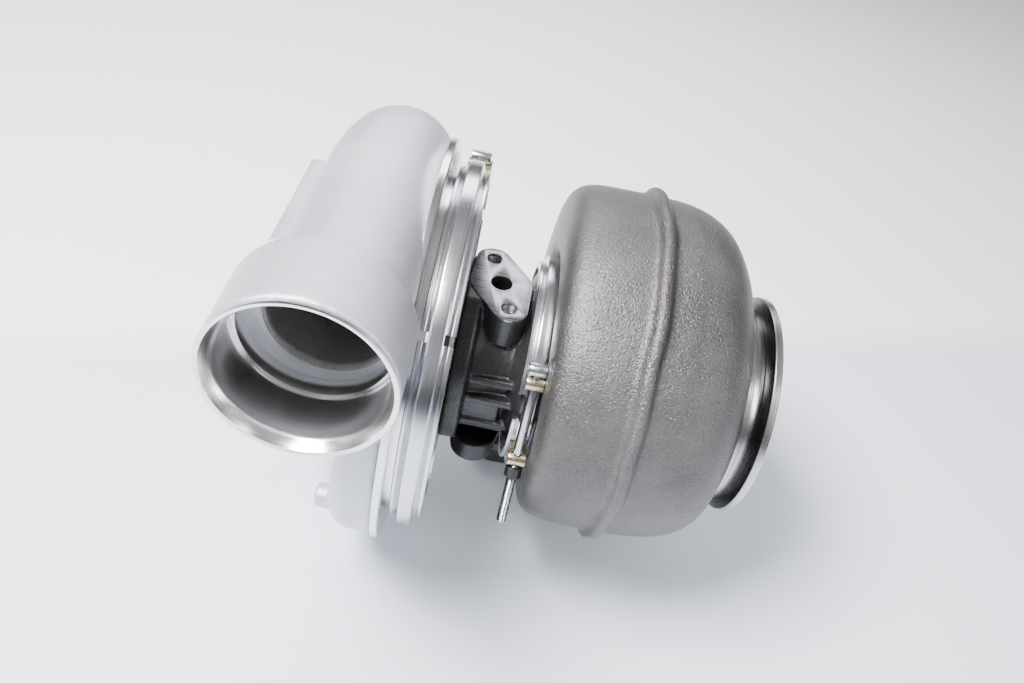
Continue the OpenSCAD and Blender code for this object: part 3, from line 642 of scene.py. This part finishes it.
# ---------- V-band clamps ----------
def retainers(name, x, top, drop, half, lip0, lip1, close, node):
    o = top - drop
    prof = [(x - lip1, o - 3.5), (x - lip1, o + 0.3), (x - lip1 + 0.5, o + 1.0), (x - lip0 - 0.5, o + 1.0),
            (x - lip0, o + 0.6), (x - lip0 + 0.7, o - 0.6), (x - half - 0.1, top - 0.3), (x - half + 0.5, top),
            (x + half - 0.5, top), (x + half + 0.1, top - 0.3), (x + lip0 - 0.7, o - 0.6), (x + lip0, o + 0.6),
            (x + lip0 + 0.5, o + 1.0), (x + lip1 - 0.5, o + 1.0), (x + lip1, o + 0.3), (x + lip1, o - 3.5),
            (x + lip1 - 2.4, o - 3.5), (x + half - 0.3, top - 2), (x - half + 0.3, top - 2),
            (x - lip1 + 2.4, o - 3.5)]
    g = math.degrees(9 / top)
    q = math.degrees(3 / top)
    segs = [revolve(name + str(i), prof, 96, a0, a1) for i, (a0, a1) in enumerate((
        (close + g, close + 120 - q), (close + 120 + q, close + 240 - q), (close + 240 + q, close + 360 - g)))]
    ob = join(segs[0], segs[1:])
    ob.name = name
    shade(ob, 24)
    return finish_piece(ob, STAINLESS, ROOT, [node])


def band(name, x, r, half, close, gap, node):
    g = math.degrees(gap / r)
    prof = [(x - half, r - 1.5), (x - half, r - 0.5), (x - half + 0.35, r - 0.08), (x - half + 1, r),
            (x + half - 1, r), (x + half - 0.35, r - 0.08), (x + half, r - 0.5), (x + half, r - 1.5)]
    ob = revolve(name, prof, 288, close + g, close + 360 - g, 50)
    return finish_piece(ob, STAINLESS, ROOT, [node])


def local(x, s, h, close):
    """Point at shaft position x, height h over the shaft and s along the growing clock angle."""
    a = math.radians(close)
    return (x, -h * math.sin(a) - s * math.cos(a), h * math.cos(a) - s * math.sin(a))


def closure(pre, x, r, half, close, h, off, th, cross, reach, flip, nodes, sleeve):
    """Trunnion loops, T-bolt, nut and spacer of one clamp. flip turns the nut to the other side."""
    k = -1 if flip else 1
    ax = Vector(local(0, k, 0, close)) - Vector(local(0, 0, 0, close))
    loops = []
    for sgn in (-1, 1):
        s0 = sgn * off
        base = math.sqrt(r * r - off * off) - 2.0
        prof = []
        for i in range(25):
            a = math.pi * 2 * i / 24
            prof.append((s0 + (th + 2.5) * math.cos(a), h + (th + 2.5) * math.sin(a)))
        barrel = make("t", [local(x + e, s, z, close) for e in (-half, half) for s, z in prof[:-1]],
                      [tuple(reversed(range(24))), tuple(range(24, 48))]
                      + [(j, (j + 1) % 24, 24 + (j + 1) % 24, 24 + j) for j in range(24)])
        leg = [(s0 - th, base), (s0 + th, base), (s0 + th, h), (s0 - th, h)]
        web = make("w", [local(x + e, s, z, close) for e in (-half, half) for s, z in leg],
                   [(3, 2, 1, 0), (4, 5, 6, 7)] + [(j, (j + 1) % 4, 4 + (j + 1) % 4, 4 + j) for j in range(4)])
        barrel = combine(barrel, [web], "UNION")
        loops.append(barrel)
    tr = join(loops[0], loops[1:])
    tr.name = pre + "_trunnions"
    hole = tube("h", local(x, -60, h, close), local(x, 60, h, close), 3.25, 48)
    tr = combine(tr, [hole], "DIFFERENCE")
    bevel(tr, 0.5)
    finish_piece(tr, GOLD, ROOT, [nodes[0]])
    head_s = off + th + 6.6
    start = local(x, -k * head_s, h, close)
    plain = head_s + off
    shank = lathe_on(pre + "_t_bolt", [(0, 0), (0, 2.6), (0.5, 2.95), (plain, 2.95), (plain + 0.4, 2.7), (plain + 0.4, 0)],
                     start, ax, 48)
    thr = thread("thr", local(x, k * (off - 0.2), h, close), ax, 2.5, 3.0, reach - off - 1.0, 1.0, 40)
    tip = lathe_on("tip", [(0, 0), (0, 2.6), (0.9, 2.1), (0.9, 0)], local(x, k * (reach - 1.3), h, close), ax, 40)
    head = tube("head", local(x - cross, -k * head_s, h, close), local(x + cross, -k * head_s, h, close), 4.0, 48)
    bevel(head, 0.5)
    bolt = join(shank, [thr, tip, head])
    shade(bolt, 40)
    finish_piece(bolt, ZINC, ROOT, [nodes[1]])
    n0 = off + (12 if sleeve else 5)
    if sleeve:
        sl = lathe_on(pre + "_sleeve", [(0, 3.25), (0, 4.9), (0.4, 5.2), (7.0, 5.2), (7.4, 4.9), (7.4, 3.25)],
                      local(x, k * (off + 4.5), h, close), ax, 64)
        finish_piece(sl, BLACK, ROOT, [nodes[3]])
    length = 8 if sleeve else 9
    hexa = tube("x", local(x, k * n0, h, close), local(x, k * (n0 + length), h, close), 11 / 2 / math.cos(math.pi / 6), 6)
    crown = lathe_on("c", [(0, 0), (0, 5.5), (0.9, 6.4), (length - 2.2, 6.4), (length, 5.0), (length, 0)],
                     local(x, k * n0, h, close), ax, 64)
    nut = combine(hexa, [crown], "INTERSECT")
    col = lathe_on("n", [(0, 0), (0, 6.6), (1.2, 6.6), (1.8, 5.6), (1.8, 0)], local(x, k * n0, h, close), ax, 64)
    nut = combine(nut, [col], "UNION")
    bore = tube("b", local(x, k * (n0 - 2), h, close), local(x, k * (n0 + length + 2), h, close), 3.02, 48)
    nut = combine(nut, [bore], "DIFFERENCE")
    nut.name = pre + "_nut"
    bevel(nut, 0.25)
    finish_piece(nut, BLACK, ROOT, [nodes[2]])


retainers("comp_clamp_v", -204, 118.4, 4.4, 4.3, 7.3, 9.8, -72, "comp_clamp_retainers")
band("comp_clamp_strap", -204, 120, 4.3, -72, 24, "comp_clamp_band")
closure("comp_closure", -204, 120, 8.5, -72, 131, 30, 2.5, 7, 68, True,
        ["comp_clamp_trunnions", "comp_clamp_t_bolt", "comp_clamp_nut"], False)
retainers("turb_clamp_v", -143.6, 68.4, 3.4, 4.0, 6.2, 8.7, 75, "turb_clamp_retainers")
band("turb_clamp_strap", -143.6, 70, 4.0, 75, 20, "turb_clamp_band")
closure("turb_closure", -145.3, 70, 5.2, 75, 80, 26, 2, 5.2, 73, False,
        ["turb_clamp_trunnions", "turb_clamp_t_bolt", "turb_clamp_nut", "turb_clamp_sleeve"], True)


# ---------- wheels ----------
def blade(name, hub, tip, th, tt):
    rings = []
    for h, s in zip(hub, tip):
        ring = []
        n = 8
        for side in (-1, 1):
            rng = range(n + 1) if side < 0 else range(n, -1, -1)
            for i in rng:
                u = i / n
                r = h[1] + (s[1] - h[1]) * u
                x = h[0] + (s[0] - h[0]) * u
                a = h[2] + (s[2] - h[2]) * u
                w = (th * (1 - u) ** 1.5 + tt * (1 - (1 - u) ** 1.5)) / 2
                ring.append(polar(x, r, a + side * math.degrees(w / r)))
        rings.append(ring)
    return skin(name, rings, 40)


def spun(ob, copies, first=0.0):
    base = ob.data.copy()
    bm = bmesh.new()
    for k in range(copies):
        me = base.copy()
        me.transform(Matrix.Rotation(math.radians(first + k * 360 / copies), 4, "X"))
        bm.from_mesh(me)
        bpy.data.meshes.remove(me)
    bm.to_mesh(ob.data)
    bm.free()
    bpy.data.meshes.remove(base)
    return ob


def comp_lines(u0, n=22):
    hub, tip = [], []
    for i in range(n):
        u = u0 + (1 - u0) * i / (n - 1)
        hub.append((-258 + 39.5 * u ** 0.75, 14 + 41.5 * u ** 2.2, -46 * (1 - u) ** 1.6 - 26 * u * u))
        tip.append((-256 + 32.6 * u ** 0.72, 41 + 17 * u ** 2.6, -60 * (1 - u) ** 1.6 - 26 * u * u))
    return hub, tip


wheel = revolve("compressor_wheel_body", [
    (-262, 7.6), (-262, 11.4), (-261.4, 12), (-256, 14.3), (-251, 15.6), (-246, 17), (-241, 19), (-237, 21.4),
    (-233, 24.4), (-229, 28.4), (-226, 32.6), (-223.4, 37.6), (-221.2, 43), (-219.8, 48.5), (-219.0, 53.5),
    (-218.6, 58), (-216.6, 58), (-216.3, 30), (-215.8, 14), (-215.8, 7.6)], 160)
h0, t0 = comp_lines(0.0)
h1, t1 = comp_lines(0.3)
wheel = join(wheel, [spun(blade("m", h0, t0, 2.6, 0.9), 8), spun(blade("s", h1, t1, 2.2, 0.9), 8, 22.5)])
shade(wheel, 40)
finish_piece(wheel, MACH_AL, ROTOR, ["compressor_wheel"])

tb_h, tb_t = [], []
for i in range(20):
    u = i / 19
    tb_h.append((-99.6 + 42 * u ** 0.85, 47 - 33.8 * u ** 0.5, 44 * u * u))
    e = u * u * (3 - 2 * u)
    tb_t.append((-81 + 24 * u, 50 - 6.5 * e, 52 * u * u))
hot = revolve("turbine_wheel_body", [
    (-101.8, 8.1), (-101.8, 18), (-101.2, 30), (-100.6, 45.6), (-100, 46), (-98.8, 45.4), (-97.6, 41), (-96, 36),
    (-92.6, 29.4), (-88, 24), (-82, 19.6), (-76, 16.6), (-68, 14.3), (-60, 13), (-54, 12), (-52.5, 10.4),
    (-52, 8), (-52, 0.5), (-92, 0.5), (-92, 8.1)], 144)
hot = join(hot, [spun(blade("t", tb_h, tb_t, 3.4, 1.4), 11)])
boss = tube("hexend", (-54, 0, 0), (-49.8, 0, 0), 7.0, 6)
bevel(boss, 0.6)
hot = join(hot, [boss])
shade(hot, 40)
finish_piece(hot, TURB, ROTOR, ["turbine_wheel"])

# ---------- pieces kept from the frame ----------
KEEP = {"heat_shield": STAINLESS, "backplate_bolts": BLACK, "cover_o_ring": RUBBER, "backplate_o_ring": RUBBER,
        "thrust_bearing": BRONZE, "oil_baffle": ZINC, "thrust_screws": BLACK, "bearing_circlips": BLACK,
        "journal_bearing_compressor": BRONZE, "journal_bearing_turbine": BRONZE, "shaft": GROUND,
        "compressor_nut": BLACK, "thrust_collar": GROUND, "oil_slinger": GROUND,
        "piston_ring_compressor": GROUND, "piston_ring_turbine": GROUND}
for node, mat in KEEP.items():
    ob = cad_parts[node]
    ob.data.materials.clear()
    ob.data.materials.append(mat)
    for poly in ob.data.polygons:
        poly.material_index = 0

# ---------- stage, light and camera ----------
lo, hi = CAD_BOX
floor = bpy.data.meshes.new("floor")
floor.from_pydata([(-6, -6, lo[2]), (6, -6, lo[2]), (6, 6, lo[2]), (-6, 6, lo[2])], [], [(0, 1, 2, 3)])
floor_ob = bpy.data.objects.new("floor", floor)
bpy.context.scene.collection.objects.link(floor_ob)
fm, nt, p, c = new_mat("pale_floor")
sep = nt.nodes.new("ShaderNodeSeparateXYZ")
nt.links.new(c.outputs["Object"], sep.inputs[0])
dot = nt.nodes.new("ShaderNodeVectorMath")
dot.operation = "DOT_PRODUCT"
# distance past the line where the table ends and the white background begins
nx, ny = -0.3062, 0.9520
dot.inputs[1].default_value = (nx, ny, 0)
nt.links.new(c.outputs["Object"], dot.inputs[0])
far = nt.nodes.new("ShaderNodeMapRange")
line = nx * -0.5527 + ny * 0.0583
far.inputs["From Min"].default_value = line - 0.02
far.inputs["From Max"].default_value = line + 0.03
nt.links.new(dot.outputs["Value"], far.inputs["Value"])
tint = ramp(nt, far.outputs[0], [(0.0, (0.72, 0.765, 0.84)), (1.0, (0.93, 0.935, 0.94))])
nt.links.new(tint, p.inputs["Base Color"])
p.inputs["Roughness"].default_value = 0.55
p.inputs["Specular IOR Level"].default_value = 0.25
nt.links.new(tint, p.inputs["Emission Color"])
p.inputs["Emission Strength"].default_value = 0.16
floor.materials.append(fm)

world = bpy.data.worlds.new("studio")
world.use_nodes = True
bpy.context.scene.world = world
wn = world.node_tree
bg = wn.nodes["Background"]
tc = wn.nodes.new("ShaderNodeTexCoord")
ws = wn.nodes.new("ShaderNodeSeparateXYZ")
wn.links.new(tc.outputs["Generated"], ws.inputs[0])
wr = wn.nodes.new("ShaderNodeValToRGB")
els = wr.color_ramp.elements
els[0].position, els[0].color = 0.50, (0.14, 0.14, 0.16, 1)
els[1].position, els[1].color = 1.0, (1.0, 1.0, 1.0, 1)
for pos, tone in ((0.60, 0.22), (0.68, 0.85), (0.80, 1.0), (0.88, 0.45)):
    els.new(pos).color = (tone, tone, tone * 1.04, 1)
wm = wn.nodes.new("ShaderNodeMapRange")
wm.inputs["From Min"].default_value = -1.0
wm.inputs["From Max"].default_value = 1.0
wn.links.new(ws.outputs["Z"], wm.inputs["Value"])
wn.links.new(wm.outputs[0], wr.inputs["Fac"])
wn.links.new(wr.outputs["Color"], bg.inputs["Color"])
bg.inputs["Strength"].default_value = 0.5


def area(name, loc, aim, size, power, colour=(1, 1, 1)):
    l = bpy.data.lights.new(name, "AREA")
    l.shape, l.size, l.size_y, l.energy, l.color = "RECTANGLE", size[0], size[1], power, colour
    ob = bpy.data.objects.new(name, l)
    ob.location = loc
    ob.rotation_euler = (Vector(aim) - Vector(loc)).to_track_quat("-Z", "Y").to_euler()
    bpy.context.scene.collection.objects.link(ob)


aim = (-0.15, 0, 0)
area("key", (-0.75, -0.35, 1.15), aim, (0.6, 0.45), 80)
area("fill", (0.9, -0.8, 0.9), aim, (0.35, 0.8), 12, (0.97, 0.98, 1.0))
area("back", (-0.2, 1.2, 0.8), aim, (1.2, 0.5), 12, (0.95, 0.97, 1.0))

F = Vector((0.052, 0.759, -0.649)).normalized()
R = Vector((0.978, 0.093, 0.187))
R = (R - F * R.dot(F)).normalized()
U = R.cross(F)
cam = bpy.data.cameras.new("camera")
cam.sensor_width, cam.lens = 36.0, 36.0 * 881.2 / 1024
cam.clip_start, cam.clip_end = 0.01, 30
cam_ob = bpy.data.objects.new("camera", cam)
cam_ob.matrix_world = Matrix(((R.x, U.x, -F.x, -0.1891), (R.y, U.y, -F.y, -0.4372),
                              (R.z, U.z, -F.z, 0.3865), (0, 0, 0, 1)))
bpy.context.scene.collection.objects.link(cam_ob)
bpy.context.scene.camera = cam_ob
